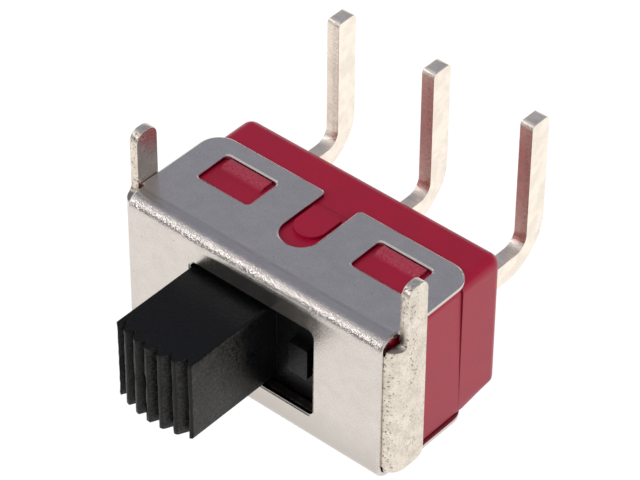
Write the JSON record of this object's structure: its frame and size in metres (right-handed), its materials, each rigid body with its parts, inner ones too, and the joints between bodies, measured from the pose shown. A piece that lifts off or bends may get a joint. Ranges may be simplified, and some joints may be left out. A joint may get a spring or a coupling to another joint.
{
  "type": "slide switch",
  "caption": "Miniature board-mounted slide switch with a ribbed knob, a clipped steel frame over a moulded case, board pins and turned-up terminals.",
  "frame": {"origin": "on the outer face of the lower flange, midway between the two bracket pins", "axes": "+X along the frame and the knob's travel, -Y the way the knob points, +Z the way the terminals and the bracket's pins point"},
  "size_m": [0.0136, 0.0155, 0.0101],
  "materials": {
    "steel": "satin rolled stainless sheet",
    "tinned": "dull tin plate on brass",
    "case_red": "smooth moulded thermoset",
    "black_nylon": "moulded nylon",
    "terminal_plate": "bright tin-plated copper alloy",
    "contact_silver": "silver",
    "plunger_metal": "plated",
    "spring_steel": "drawn wire",
    "sealing_resin": "poured resin"
  },
  "bodies": {
    "housing": {"frame": "steel", "bracket": "tinned", "case": "case_red", "centre_terminal": "terminal_plate", "left_terminal": "terminal_plate", "right_terminal": "terminal_plate", "left_contact": "contact_silver", "right_contact": "contact_silver", "terminal_seal": "sealing_resin"},
    "slider": {"slider": "black_nylon", "detent_spring": "spring_steel"},
    "plunger": {"plunger": "plunger_metal"},
    "rocker": {"rocker": "contact_silver"}
  },
  "joints": [
    {"name": "knob_slide", "type": "slide", "parent": "housing", "child": "slider", "axis": [1, 0, 0], "range_m": [0, 0.0023]},
    {"name": "plunger_press", "type": "slide", "parent": "slider", "child": "plunger", "axis": [0, -1, 0], "range_m": [0, 0.0003], "stiffness_N_per_m": 200, "springref_m": -0.001, "deforming": ["detent_spring"]},
    {"name": "rocker_tilt", "type": "hinge", "parent": "housing", "child": "rocker", "pos_m": [0, 0.0027, 0.00343], "axis": [0, 0, 1], "range_deg": [0, 8]}
  ],
  "couplings": [
    {"joint": "rocker_tilt", "follows": "knob_slide", "rad_per_m": 60.706}
  ]
}
